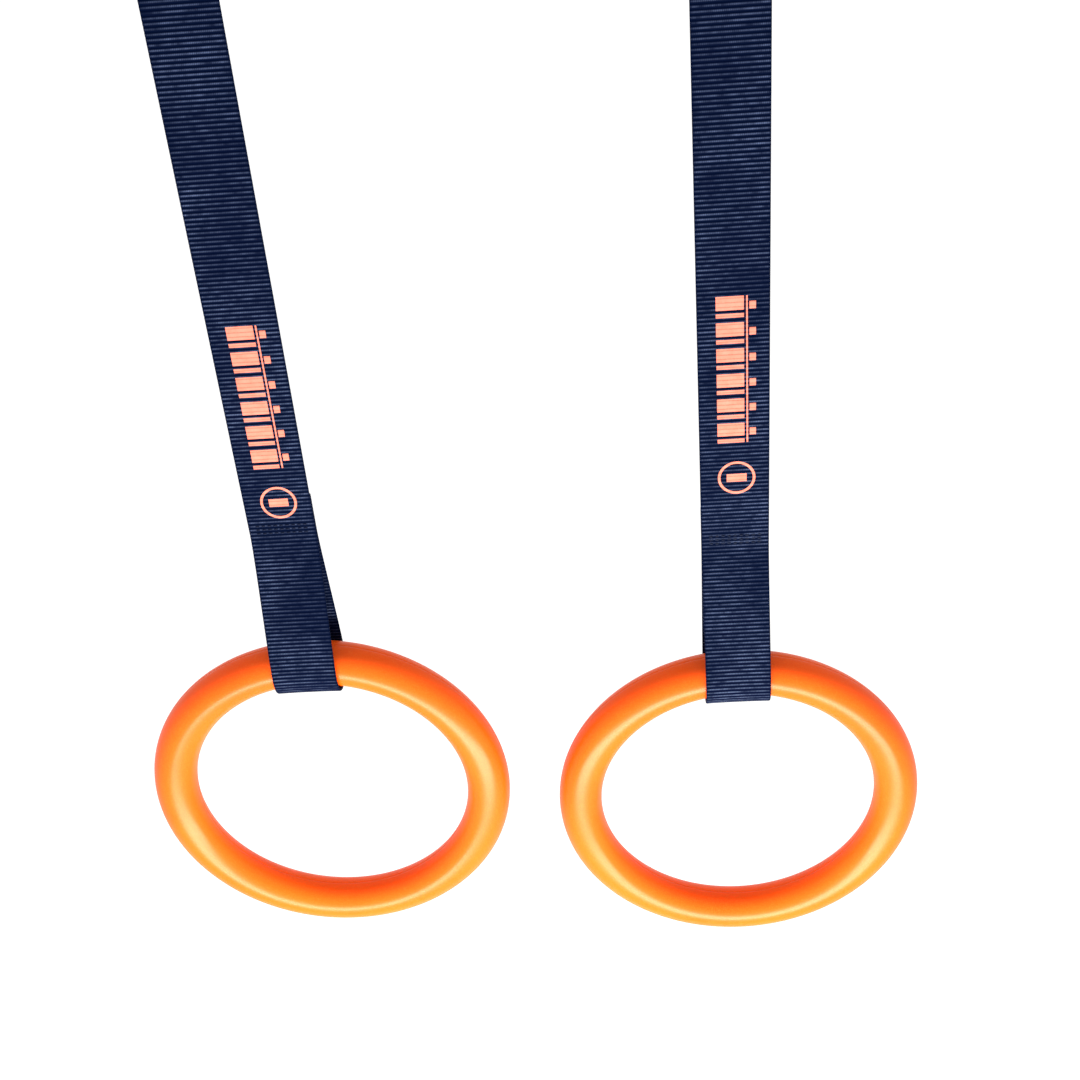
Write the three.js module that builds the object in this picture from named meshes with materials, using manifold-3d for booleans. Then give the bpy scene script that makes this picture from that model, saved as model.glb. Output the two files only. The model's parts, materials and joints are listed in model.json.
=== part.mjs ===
// A pair of gymnastics rings on webbing straps, in millimetres, +Z up.
// The origin is the axis of the overhead bar, midway between the two straps.
// +X runs along the bar and +Y points behind the straps.
import * as THREE from "three";
import { mergeVertices } from "three/addons/utils/BufferGeometryUtils.js";
import Module from "manifold-3d";

// Driving dimensions
const STRAP_SPACING = 268; // between the two straps, along the bar
const BAR_TO_TUBE = { left: 760, right: 784 }; // from the bar's axis down to the ring's top tube
const TUBE_RADIUS = 14;
const RING_RADIUS = 104; // to the middle of the tube: 180 mm clear inside
const SHELL_WALL = 5;
const WEB_WIDTH = 40;
const WEB_THICKNESS = 2;
const TURN_RADIUS = 21; // middle of the webbing where it turns over a 40 mm bar
const CLEARANCE = 0.3; // between pieces that touch
const SADDLE_CLEARANCE = 0.6; // between the ring's tube and the webbing under it
const RING_STEPS = 48;

// Heights above the axis of the ring's top tube
const EYE_MERGE = 96; // where the two legs of the sewn eye come together
const EYE_TOP = 122; // upper end of the sewn overlap

// Heights from the bar's axis
const HEAD_TOP = -150;
const SWAY_AXIS = -320;

// Cam buckle, whose webbing runs down between a base plate and a toothed cam
const BUCKLE_TOP = -145;
const BUCKLE_LENGTH = 45;
const BUCKLE_WIDTH = 47.6;
const PLATE_THICKNESS = 1.5;
const PLATE_HEIGHT = 33;
const PLATE_BACK = 10; // y of the face that the webbing slides on
const PASS_Y = 11.9; // middle of the webbing inside the buckle
const CAM_PIN = { y: 19.5, z: -162, radius: 2 };
const TAB_BAR = { y: 6.1, z: -186, radius: 2.2 };
const TAB_BOTTOM = -230;
const EAR_BACK = 26; // y of the rear edge of the frame's ears
const EAR_ROUND = 7;
const CAM_WIDTH = 43;
const CAM_REACH = 6.3; // from the pin to the teeth
const SPRING_TURNS = 3;
const SPRING_WIRE = 0.5; // radius
const SPRING_POCKET = 10;

const REAR_LAYER_Y = WEB_THICKNESS + CLEARANCE; // the eye's rear layer, behind the front one

// Spare webbing, rolled up behind the strap
const ROLL_RADIUS = 50;
const ROLL_CORE = 14; // room at the middle of the roll, left by folding the end over
const LEAD_BEND = 10;
const LEAD_STRAIGHT = 46;
const LEAD_SLOPE = THREE.MathUtils.degToRad(14);
const KEEPER_HEIGHT = 20;
const KEEPER_THICKNESS = 1.4;

const NAVY = { color: 0x14224a, roughness: 0.85, metalness: 0 };
const BLACK = { color: 0x16171a, roughness: 0.8, metalness: 0 };
const ORANGE = { color: 0xff5a12, roughness: 0.3, metalness: 0 };
const STEEL = { color: 0xb9bcc0, roughness: 0.35, metalness: 0.9 };

const wasm = await Module();
wasm.setup();

const point = (y, z) => new THREE.Vector2(y, z);

function solidOf(geometry) {
  const bare = geometry.clone();
  bare.deleteAttribute("normal");
  bare.deleteAttribute("uv");
  const merged = mergeVertices(bare, 1e-4);
  return new wasm.Manifold(new wasm.Mesh({
    numProp: 3,
    vertProperties: new Float32Array(merged.attributes.position.array),
    triVerts: new Uint32Array(merged.index.array),
  }));
}

function geometryOf(solid) {
  const mesh = solid.getMesh();
  const geometry = new THREE.BufferGeometry();
  geometry.setAttribute("position", new THREE.BufferAttribute(mesh.vertProperties, 3));
  geometry.setIndex(new THREE.BufferAttribute(mesh.triVerts, 1));
  return geometry;
}

// Evenly spaced points of a circle, the first one given only once
function circlePoints(y, z, radius, count) {
  return Array.from({ length: count }, (_, i) => {
    const angle = (i / count) * 2 * Math.PI;
    return point(y + radius * Math.cos(angle), z + radius * Math.sin(angle));
  });
}

// A flat shape drawn in the Y-Z plane, made into a slab centred on x = 0
function slabAcross(shape, width, curveSegments = 8) {
  const settings = { depth: width, bevelEnabled: false, curveSegments };
  const geometry = new THREE.ExtrudeGeometry(shape, settings);
  const turn = new THREE.Matrix4().set(0, 0, 1, -width / 2, 1, 0, 0, 0, 0, 1, 0, 0, 0, 0, 0, 1);
  return geometry.applyMatrix4(turn);
}

// A flat shape drawn in the X-Z plane, made into a sheet centred on y = 0
function sheetAlong(shape, thickness) {
  const geometry = new THREE.ExtrudeGeometry(shape, {
    depth: thickness, bevelEnabled: false, curveSegments: 10,
  });
  const turn = new THREE.Matrix4().set(1, 0, 0, 0, 0, 0, -1, thickness / 2, 0, 1, 0, 0, 0, 0, 0, 1);
  return geometry.applyMatrix4(turn);
}

// Webbing that follows a line drawn in the Y-Z plane
function webbingAlong(line, width = WEB_WIDTH, thickness = WEB_THICKNESS) {
  const sides = [[], []];
  line.forEach((p, i) => {
    const before = line[Math.max(i - 1, 0)];
    const after = line[Math.min(i + 1, line.length - 1)];
    const into = p.clone().sub(before).normalize();
    const out = after.clone().sub(p).normalize();
    const along = into.clone().add(out).normalize();
    const bend = i > 0 && i < line.length - 1 ? Math.abs(into.dot(along)) : 1;
    const reach = thickness / 2 / bend;
    sides[0].push(point(p.x - along.y * reach, p.y + along.x * reach));
    sides[1].unshift(point(p.x + along.y * reach, p.y - along.x * reach));
  });
  return slabAcross(new THREE.Shape([...sides[0], ...sides[1]]), width);
}

function roundBar(radius, length, sides = 16) {
  return new THREE.CylinderGeometry(radius, radius, length, sides).rotateZ(Math.PI / 2);
}

// The webbing over the bar: half a turn
function topTurn() {
  const arc = new THREE.Path();
  arc.absarc(0, 0, TURN_RADIUS, 0, Math.PI, false);
  return webbingAlong(arc.getPoints(16));
}

function topFrontLeg() {
  const bottom = HEAD_TOP + CLEARANCE;
  const curve = new THREE.CubicBezierCurve(
    point(-TURN_RADIUS, -CLEARANCE), point(-TURN_RADIUS, -45), point(0, bottom + 45), point(0, bottom),
  );
  return webbingAlong(curve.getPoints(10));
}

function topRearLeg() {
  const bottom = BUCKLE_TOP + CLEARANCE;
  const curve = new THREE.CubicBezierCurve(
    point(TURN_RADIUS, -CLEARANCE), point(TURN_RADIUS, -40), point(PASS_Y, bottom + 40), point(PASS_Y, bottom),
  );
  return webbingAlong(curve.getPoints(10));
}

// The strap beside the buckle and the roll; its lower end is hollowed for the sway
function strapHead() {
  const half = WEB_WIDTH / 2;
  const reach = half + 1.5;
  const edge = Math.sqrt(reach ** 2 - half ** 2);
  const start = Math.asin(edge / reach);
  const shape = new THREE.Shape();
  shape.moveTo(-half, HEAD_TOP);
  shape.lineTo(-half, SWAY_AXIS + edge);
  shape.absarc(0, SWAY_AXIS, reach, Math.PI - start, start, true);
  shape.lineTo(half, HEAD_TOP);
  return sheetAlong(shape, WEB_THICKNESS);
}

// The strap between the roll and the sewn eye; its upper end is round about the sway axis
function strapDrop(barToTube) {
  const half = WEB_WIDTH / 2;
  const bottom = EYE_TOP + CLEARANCE - barToTube;
  const shape = new THREE.Shape();
  shape.moveTo(half, bottom);
  shape.lineTo(half, SWAY_AXIS);
  shape.absarc(0, SWAY_AXIS, half, 0, Math.PI, false);
  shape.lineTo(-half, bottom);
  return sheetAlong(shape, WEB_THICKNESS);
}

// One leg of the eye, from beside the ring's tube up to the sewn overlap
function eyeLeg(side, topY) {
  const start = TUBE_RADIUS + SADDLE_CLEARANCE + WEB_THICKNESS / 2;
  const curve = new THREE.CubicBezierCurve(
    point(side * start, CLEARANCE),
    point(side * start * 0.93, 0.13 * EYE_MERGE),
    point(topY + side * 0.9, 0.8 * EYE_MERGE),
    point(topY, EYE_MERGE - CLEARANCE),
  );
  return webbingAlong(curve.getPoints(10));
}

// Both layers of the eye, sewn together
function eyeJoin() {
  const depth = REAR_LAYER_Y + WEB_THICKNESS;
  const height = EYE_TOP - EYE_MERGE;
  const box = new THREE.BoxGeometry(WEB_WIDTH, depth, height);
  return box.translate(0, REAR_LAYER_Y / 2, EYE_MERGE + height / 2);
}

// Webbing under the ring's top tube, bent round the tube and along the ring's curve
function saddle() {
  const halfTurn = Math.PI;
  const geometry = new THREE.BoxGeometry(WEB_WIDTH, halfTurn, WEB_THICKNESS, 4, 14, 1);
  const middle = TUBE_RADIUS + SADDLE_CLEARANCE + WEB_THICKNESS / 2;
  const place = geometry.attributes.position;
  for (let i = 0; i < place.count; i += 1) {
    const across = place.getX(i);
    const turn = place.getY(i) + halfTurn / 2;
    const fromTube = middle - place.getZ(i);
    const fromAxis = RING_RADIUS - fromTube * Math.sin(turn);
    const height = Math.sqrt(fromAxis ** 2 - across ** 2);
    place.setXYZ(i, across, -fromTube * Math.cos(turn), height - RING_RADIUS);
  }
  return geometry;
}

// Half of the hollow ring: side -1 is the front shell, +1 the rear shell
function ringShell(side) {
  const gap = CLEARANCE / 2;
  const arc = (radius, steps, from, to) => {
    const offset = Math.asin(gap / radius);
    return Array.from({ length: steps + 1 }, (_, i) => {
      const angle = from + offset * Math.sign(to - from) + (i / steps) * (to - from) * (1 - 2 * offset / Math.PI);
      return point(RING_RADIUS + radius * Math.cos(angle), side * radius * Math.sin(angle));
    });
  };
  const outer = arc(TUBE_RADIUS, 8, 0, Math.PI);
  const inner = arc(TUBE_RADIUS - SHELL_WALL, 4, Math.PI, 0);
  const profile = [...outer, ...inner, outer[0].clone()];
  if (side > 0) profile.reverse();
  return new THREE.LatheGeometry(profile.reverse(), RING_STEPS).translate(0, 0, -RING_RADIUS);
}

// One steel pressing: base plate and two ears, with holes for the cam pin and the tab bar
function buckleFrame() {
  const top = BUCKLE_TOP;
  const plate = new THREE.BoxGeometry(BUCKLE_WIDTH - PLATE_THICKNESS, PLATE_THICKNESS, PLATE_HEIGHT)
    .translate(0, PLATE_BACK - PLATE_THICKNESS / 2, top - PLATE_HEIGHT / 2);
  const ear = new THREE.Shape();
  ear.moveTo(PLATE_BACK - PLATE_THICKNESS, top);
  ear.lineTo(EAR_BACK - EAR_ROUND - 2, top);
  ear.absarc(EAR_BACK - EAR_ROUND, top - EAR_ROUND - 3, EAR_ROUND, Math.PI / 2, 0, true);
  ear.lineTo(EAR_BACK, top - 24);
  ear.lineTo(TAB_BAR.y + 5, top - BUCKLE_LENGTH);
  ear.absarc(TAB_BAR.y, TAB_BAR.z, 4, -Math.PI / 2, -Math.PI, true);
  ear.lineTo(PLATE_BACK - PLATE_THICKNESS, top - PLATE_HEIGHT + 3);
  for (const hole of [CAM_PIN, TAB_BAR]) {
    ear.holes.push(new THREE.Path(circlePoints(hole.y, hole.z, hole.radius + CLEARANCE, 16)));
  }
  let frame = solidOf(plate);
  for (const side of [-1, 1]) {
    const x = side * (BUCKLE_WIDTH - PLATE_THICKNESS) / 2;
    frame = frame.add(solidOf(slabAcross(ear, PLATE_THICKNESS).translate(x, 0, 0)));
  }
  return geometryOf(frame);
}

// The toothed cam and its thumb plate, hollowed in the middle for the spring
function camLever() {
  const body = new THREE.Shape();
  body.moveTo(-CAM_REACH, -3);
  body.lineTo(-CAM_REACH + 0.8, -2.2);
  body.lineTo(-CAM_REACH, -1.4);
  body.lineTo(-CAM_REACH + 0.8, -0.6);
  body.lineTo(-CAM_REACH, 0.2);
  body.lineTo(-3, 4.2);
  body.lineTo(3, 8);
  body.lineTo(13, 21);
  body.lineTo(15.2, 20);
  body.lineTo(5.6, 4.6);
  body.absarc(0, 0, 5, 0.7, -2.2, true);
  body.holes.push(new THREE.Path(circlePoints(0, 0, CAM_PIN.radius + CLEARANCE, 16)));
  const pocket = new THREE.BoxGeometry(SPRING_POCKET, 14, 13).translate(0, 0, -1);
  const cam = solidOf(slabAcross(body, CAM_WIDTH)).subtract(solidOf(pocket));
  return geometryOf(cam).translate(0, CAM_PIN.y, CAM_PIN.z);
}

// A torsion spring wound round the cam pin
function camSpring() {
  const steps = 10 * SPRING_TURNS;
  const radius = CAM_PIN.radius + 1.2;
  const points = Array.from({ length: steps + 1 }, (_, i) => {
    const angle = (i / steps) * SPRING_TURNS * 2 * Math.PI;
    return new THREE.Vector3(
      (i / steps - 0.5) * (SPRING_POCKET - 2.4), radius * Math.cos(angle), radius * Math.sin(angle),
    );
  });
  const wire = new THREE.Shape(circlePoints(0, 0, SPRING_WIRE, 6));
  const path = new THREE.CatmullRomCurve3(points);
  return new THREE.ExtrudeGeometry(wire, {
    steps: 48, bevelEnabled: false, extrudePath: path, curveSegments: 3,
  }).translate(0, CAM_PIN.y, CAM_PIN.z);
}

function camPin() {
  return roundBar(CAM_PIN.radius, BUCKLE_WIDTH + 1.6).translate(0, CAM_PIN.y, CAM_PIN.z);
}

function tabBar() {
  return roundBar(TAB_BAR.radius, BUCKLE_WIDTH + 1.6).translate(0, TAB_BAR.y, TAB_BAR.z);
}

// Short webbing that ties the buckle to the strap: over the bar, then both ends down
function buckleTab() {
  const reach = TAB_BAR.radius + CLEARANCE + WEB_THICKNESS / 2;
  const path = new THREE.Path();
  path.moveTo(TAB_BAR.y - reach, TAB_BOTTOM);
  path.lineTo(TAB_BAR.y - reach, TAB_BAR.z);
  path.absarc(TAB_BAR.y, TAB_BAR.z, reach, Math.PI, 0, true);
  path.bezierCurveTo(
    TAB_BAR.y + reach, TAB_BAR.z - 8, TAB_BAR.y - 1.2, TAB_BAR.z - 6, TAB_BAR.y - 1.2, TAB_BAR.z - 16,
  );
  path.lineTo(TAB_BAR.y - 1.2, TAB_BOTTOM);
  const line = path.getPoints(8).filter((p, i, all) => i === 0 || p.distanceTo(all[i - 1]) > 1e-3);
  return webbingAlong(line);
}

const LEAD_TURN = { y: PASS_Y + LEAD_BEND, z: BUCKLE_TOP - BUCKLE_LENGTH - 2 };
const LEAD_END_ANGLE = 1.5 * Math.PI - LEAD_SLOPE;
const BEND_END = point(
  LEAD_TURN.y + LEAD_BEND * Math.cos(LEAD_END_ANGLE),
  LEAD_TURN.z + LEAD_BEND * Math.sin(LEAD_END_ANGLE),
);
const LEAD_WAY = point(Math.cos(LEAD_SLOPE), -Math.sin(LEAD_SLOPE));
const LEAD_END = BEND_END.clone().addScaledVector(LEAD_WAY, LEAD_STRAIGHT);
const ROLL_REACH = ROLL_RADIUS + CLEARANCE + WEB_THICKNESS / 2;
const ROLL_CENTRE = LEAD_END.clone().addScaledVector(point(LEAD_WAY.y, -LEAD_WAY.x), ROLL_REACH);

// Webbing through the buckle, then back to the top of the roll
function tailLead() {
  const path = new THREE.Path();
  path.moveTo(PASS_Y, BUCKLE_TOP);
  path.lineTo(PASS_Y, LEAD_TURN.z);
  path.absarc(LEAD_TURN.y, LEAD_TURN.z, LEAD_BEND, Math.PI, LEAD_END_ANGLE, false);
  path.lineTo(LEAD_END.x, LEAD_END.y);
  const line = path.getPoints(6).filter((p, i, all) => i === 0 || p.distanceTo(all[i - 1]) > 1e-3);
  return webbingAlong(line);
}

function tailRoll() {
  const half = WEB_WIDTH / 2;
  const profile = [
    point(ROLL_CORE, -half), point(ROLL_RADIUS, -half), point(ROLL_RADIUS, half),
    point(ROLL_CORE, half), point(ROLL_CORE, -half),
  ];
  return new THREE.LatheGeometry(profile, 32).rotateZ(Math.PI / 2)
    .translate(0, ROLL_CENTRE.x, ROLL_CENTRE.y);
}

function roundedRectangle(Shape, x, front, back, radius) {
  const outline = new Shape();
  outline.moveTo(-x + radius, front);
  outline.lineTo(x - radius, front);
  outline.absarc(x - radius, front + radius, radius, -Math.PI / 2, 0, false);
  outline.lineTo(x, back - radius);
  outline.absarc(x - radius, back - radius, radius, 0, Math.PI / 2, false);
  outline.lineTo(-x + radius, back);
  outline.absarc(-x + radius, back - radius, radius, Math.PI / 2, Math.PI, false);
  outline.lineTo(-x, front + radius);
  outline.absarc(-x + radius, front + radius, radius, Math.PI, 1.5 * Math.PI, false);
  return outline;
}

// An elastic band that holds the roll to the strap
function tailKeeper() {
  const room = 0.4;
  const x = WEB_WIDTH / 2 + room;
  const front = -WEB_THICKNESS / 2 - room;
  const back = ROLL_CENTRE.x + ROLL_RADIUS + room;
  const t = KEEPER_THICKNESS;
  const band = roundedRectangle(THREE.Shape, x + t, front - t, back + t, t + 0.2);
  band.holes.push(roundedRectangle(THREE.Path, x, front, back, 0.2));
  return new THREE.ExtrudeGeometry(band, { depth: KEEPER_HEIGHT, bevelEnabled: false, curveSegments: 3 })
    .translate(0, 0, ROLL_CENTRE.y - KEEPER_HEIGHT / 2);
}

// Everything that hangs at one end of the bar. The eye and the ring are placed by the ring's top tube.
function ringAndStrap(side) {
  const barToTube = BAR_TO_TUBE[side];
  const upper = new THREE.Group();
  const lower = new THREE.Group();
  upper.position.x = (side === "left" ? -1 : 1) * STRAP_SPACING / 2;
  lower.position.z = -barToTube;
  upper.add(lower);
  const add = (group, name, geometry, look) => {
    const mesh = new THREE.Mesh(geometry, new THREE.MeshStandardMaterial(look));
    mesh.name = `${name}_${side}`;
    group.add(mesh);
  };
  add(upper, "strap_top_turn", topTurn(), NAVY);
  add(upper, "strap_front_leg", topFrontLeg(), NAVY);
  add(upper, "strap_rear_leg", topRearLeg(), NAVY);
  add(upper, "strap_head", strapHead(), NAVY);
  add(upper, "buckle_frame", buckleFrame(), STEEL);
  add(upper, "cam_pin", camPin(), STEEL);
  add(upper, "cam_spring", camSpring(), STEEL);
  add(upper, "cam_lever", camLever(), STEEL);
  add(upper, "tab_bar", tabBar(), STEEL);
  add(upper, "buckle_tab", buckleTab(), NAVY);
  add(upper, "tail_lead", tailLead(), NAVY);
  add(upper, "tail_roll", tailRoll(), NAVY);
  add(upper, "tail_keeper", tailKeeper(), BLACK);
  add(upper, "strap_drop", strapDrop(barToTube), NAVY);
  add(lower, "eye_join", eyeJoin(), NAVY);
  add(lower, "eye_front_leg", eyeLeg(-1, 0), NAVY);
  add(lower, "eye_rear_leg", eyeLeg(1, REAR_LAYER_Y), NAVY);
  add(lower, "strap_saddle", saddle(), NAVY);
  add(lower, "ring_front_shell", ringShell(-1), ORANGE);
  add(lower, "ring_rear_shell", ringShell(1), ORANGE);
  return upper;
}

const rings = new THREE.Group();
rings.add(ringAndStrap("left"), ringAndStrap("right"));

export default rings;
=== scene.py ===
"""Looks for a pair of gymnastics rings on webbing straps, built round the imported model.

Metres, +Z up. The origin is on the axis of the overhead bar, +Y is behind the straps.
"""
import json
import math
import bmesh
import bpy
import numpy as np
from mathutils import Matrix, Vector


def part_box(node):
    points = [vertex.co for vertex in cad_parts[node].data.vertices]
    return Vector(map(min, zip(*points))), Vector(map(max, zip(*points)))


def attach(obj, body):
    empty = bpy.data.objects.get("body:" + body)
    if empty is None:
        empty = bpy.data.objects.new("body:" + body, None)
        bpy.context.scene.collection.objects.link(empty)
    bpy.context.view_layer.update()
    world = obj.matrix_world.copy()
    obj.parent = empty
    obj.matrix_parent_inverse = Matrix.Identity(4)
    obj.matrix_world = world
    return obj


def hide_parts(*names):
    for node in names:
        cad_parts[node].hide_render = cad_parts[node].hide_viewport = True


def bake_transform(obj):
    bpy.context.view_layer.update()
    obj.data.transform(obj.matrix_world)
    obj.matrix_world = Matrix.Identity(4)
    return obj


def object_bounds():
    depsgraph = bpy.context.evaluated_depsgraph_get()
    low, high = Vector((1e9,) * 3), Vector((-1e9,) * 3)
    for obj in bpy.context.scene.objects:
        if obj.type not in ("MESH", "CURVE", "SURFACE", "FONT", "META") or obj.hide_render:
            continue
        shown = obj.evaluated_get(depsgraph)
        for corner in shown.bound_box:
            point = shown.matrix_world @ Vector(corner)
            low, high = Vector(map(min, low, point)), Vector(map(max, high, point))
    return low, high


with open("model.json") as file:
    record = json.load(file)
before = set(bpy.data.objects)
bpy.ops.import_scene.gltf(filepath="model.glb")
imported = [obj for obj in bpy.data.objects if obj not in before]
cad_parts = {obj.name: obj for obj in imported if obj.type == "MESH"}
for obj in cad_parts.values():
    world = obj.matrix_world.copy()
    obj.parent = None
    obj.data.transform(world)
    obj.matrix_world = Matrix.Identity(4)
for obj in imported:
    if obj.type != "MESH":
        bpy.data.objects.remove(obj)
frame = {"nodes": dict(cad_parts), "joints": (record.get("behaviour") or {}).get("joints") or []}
cad_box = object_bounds()

MM = 0.001
SIDES = ("left", "right")

# ---------------------------------------------------------------- sizes read from the frame


def size_of(node):
    low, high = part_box(node)
    return high - low


WEB_WIDTH = size_of("strap_drop_left").x
WEB_THICK = size_of("strap_drop_left").y
HALF_WEB = WEB_THICK / 2
TUBE_RADIUS = -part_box("ring_front_shell_left")[0].y
RING_RADIUS = size_of("ring_front_shell_left").x / 2 - TUBE_RADIUS
TURN_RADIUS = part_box("strap_top_turn_left")[1].z - HALF_WEB
HEAD_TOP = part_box("strap_head_left")[1].z
PASS_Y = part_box("tail_lead_left")[0].y + HALF_WEB  # where the webbing passes through the buckle
PASS_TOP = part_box("tail_lead_left")[1].z
ROLL_LOW, ROLL_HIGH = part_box("tail_roll_left")
ROLL_CENTRE = ((ROLL_LOW.y + ROLL_HIGH.y) / 2, (ROLL_LOW.z + ROLL_HIGH.z) / 2)
ROLL_RADIUS = (ROLL_HIGH.z - ROLL_LOW.z) / 2
BAR_LOW, BAR_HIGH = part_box("tab_bar_left")
TAB_BAR = ((BAR_LOW.y + BAR_HIGH.y) / 2, (BAR_LOW.z + BAR_HIGH.z) / 2)
TAB_BAR_RADIUS = (BAR_HIGH.z - BAR_LOW.z) / 2
TAB_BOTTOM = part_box("buckle_tab_left")[0].z
REAR_LAYER_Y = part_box("eye_join_left")[1].y - HALF_WEB  # where the eye's rear end lies behind the strap
SWAY_AXIS = next(j for j in frame["joints"] if j["name"] == "sway_left")["pos_m"][2]


def strap_x(side):
    low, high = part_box(f"strap_drop_{side}")
    return (low.x + high.x) / 2


def tube_z(side):
    """Height of the axis of the ring's top tube."""
    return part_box(f"ring_front_shell_{side}")[1].z - TUBE_RADIUS


def join_heights(side):
    """Heights between which the eye's rear end lies sewn to the strap."""
    low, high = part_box(f"eye_join_{side}")
    return low.z, high.z


# ---------------------------------------------------------------- the camera

LENS_MM = 52.0
FILM_MM = 36.0
CAMERA_AT = Vector((0.0711, -0.7771, -0.1718))
CAMERA_YAW = math.radians(-3.88)
CAMERA_DOWN = math.radians(32.99)
CAMERA_ROLL = math.radians(-5.14)


def in_scene(name, data):
    """An object with that data, in the scene."""
    thing = bpy.data.objects.new(name, data)
    bpy.context.scene.collection.objects.link(thing)
    return thing


def make_camera():
    forward = Vector((
        math.sin(CAMERA_YAW) * math.cos(CAMERA_DOWN),
        math.cos(CAMERA_YAW) * math.cos(CAMERA_DOWN),
        -math.sin(CAMERA_DOWN),
    ))
    level = Vector((math.cos(CAMERA_YAW), -math.sin(CAMERA_YAW), 0))
    above = level.cross(forward)
    right = level * math.cos(CAMERA_ROLL) + above * math.sin(CAMERA_ROLL)
    up = above * math.cos(CAMERA_ROLL) - level * math.sin(CAMERA_ROLL)
    data = bpy.data.cameras.new("camera")
    data.sensor_width = FILM_MM
    data.lens = LENS_MM
    data.clip_start = 10 * MM
    camera = in_scene("camera", data)
    turned = Matrix((right, up, -forward)).transposed().to_4x4()
    camera.matrix_world = Matrix.Translation(CAMERA_AT) @ turned
    bpy.context.scene.camera = camera


# ---------------------------------------------------------------- materials


class Look:
    """A material with one Principled shader, and short ways to add nodes to it."""

    MIX_SHARE, MIX_LOW, MIX_HIGH, MIX_COLOUR = 0, 6, 7, 2  # a Mix node's sockets for colours

    def __init__(self, name, **settings):
        self.material = bpy.data.materials.new(name)
        self.material.use_nodes = True
        self.tree = self.material.node_tree
        self.shader = self.tree.nodes["Principled BSDF"]
        for key, value in settings.items():
            self.shader.inputs[key.replace("_", " ")].default_value = value

    def add(self, kind, *inputs, **settings):
        node = self.tree.nodes.new(kind)
        for key, value in settings.items():
            setattr(node, key, value)
        for i, value in enumerate(inputs):
            self.feed(value, node.inputs[i])
        return node

    def feed(self, value, socket):
        """Links a socket or sets a constant. None leaves the socket as it is."""
        if value is None:
            return
        if isinstance(value, bpy.types.NodeSocket):
            self.tree.links.new(value, socket)
        else:
            socket.default_value = value

    def feed_named(self, node, **values):
        for name, value in values.items():
            self.feed(value, node.inputs[name])

    def math(self, operation, *values):
        return self.add("ShaderNodeMath", *values, operation=operation).outputs[0]

    def mix(self, share, low, high):
        node = self.add("ShaderNodeMix", data_type="RGBA", clamp_factor=True)
        for value, i in ((share, self.MIX_SHARE), (low, self.MIX_LOW), (high, self.MIX_HIGH)):
            self.feed(value, node.inputs[i])
        return node.outputs[self.MIX_COLOUR]

    def vector(self, x, y):
        return self.add("ShaderNodeCombineXYZ", x, y).outputs[0]

    def weave_uv(self):
        """Millimetres across the webbing, and ribs along it."""
        uv = self.add("ShaderNodeUVMap", uv_map="weave").outputs[0]
        parts = self.add("ShaderNodeSeparateXYZ", uv)
        return parts.outputs[0], parts.outputs[1]

    def place(self):
        return self.add("ShaderNodeTexCoord").outputs["Object"]

    def noise(self, vector, scale, detail=2.0, roughness=0.5):
        """Noise from 0 to 1. Where vector is a place, scale is in features to the metre."""
        node = self.add("ShaderNodeTexNoise")
        self.feed_named(node, Vector=vector, Scale=scale, Detail=detail, Roughness=roughness)
        return node.outputs[0]

    def spread(self, value, low, high, to_low=0.0, to_high=1.0):
        return self.add("ShaderNodeMapRange", value, low, high, to_low, to_high, clamp=True).outputs[0]

    def bump(self, height, distance, strength, before=None):
        """distance is in metres. before is the normal of another bump under this one."""
        node = self.add("ShaderNodeBump")
        self.feed_named(node, Strength=strength, Distance=distance, Height=height, Normal=before)
        return node.outputs[0]

    def finish(self, colour, roughness=None, normal=None):
        self.feed(colour, self.shader.inputs["Base Color"])
        self.feed(roughness, self.shader.inputs["Roughness"])
        self.feed(normal, self.shader.inputs["Normal"])
        return self.material


YARN_MM = 0.95  # spacing of the yarns across the webbing
EDGE_FROM_MM, EDGE_TO_MM = 1.6, 0.5  # the webbing darkens from this far inside its edges to that


def rib_parts(look):
    """A place across, the distance from a rib's crest, the rib's number and height, and uneven streaks along it."""
    across, along = look.weave_uv()
    phase = look.math("FRACT", along)
    from_crest = look.math("ABSOLUTE", look.math("MULTIPLY_ADD", phase, 2.0, -1.0))
    crest = look.math("SUBTRACT", 1.0, look.math("POWER", from_crest, 2.6))
    rib = look.math("FLOOR", along)
    streak = look.noise(look.vector(look.math("MULTIPLY", across, 0.16), look.math("MULTIPLY", rib, 1.7)), 1.0, 3.0)
    return across, from_crest, rib, crest, streak


def yarns(look, across, rib):
    """The yarns of the ribs, which lie half a step over from one rib to the next."""
    half_step = look.math("MULTIPLY", look.math("MODULO", rib, 2.0), math.pi)
    yarn_angle = look.math("ADD", look.math("MULTIPLY", across, 2 * math.pi / YARN_MM), half_step)
    return look.math("MULTIPLY_ADD", look.math("SINE", yarn_angle), 0.5, 0.5)


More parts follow.
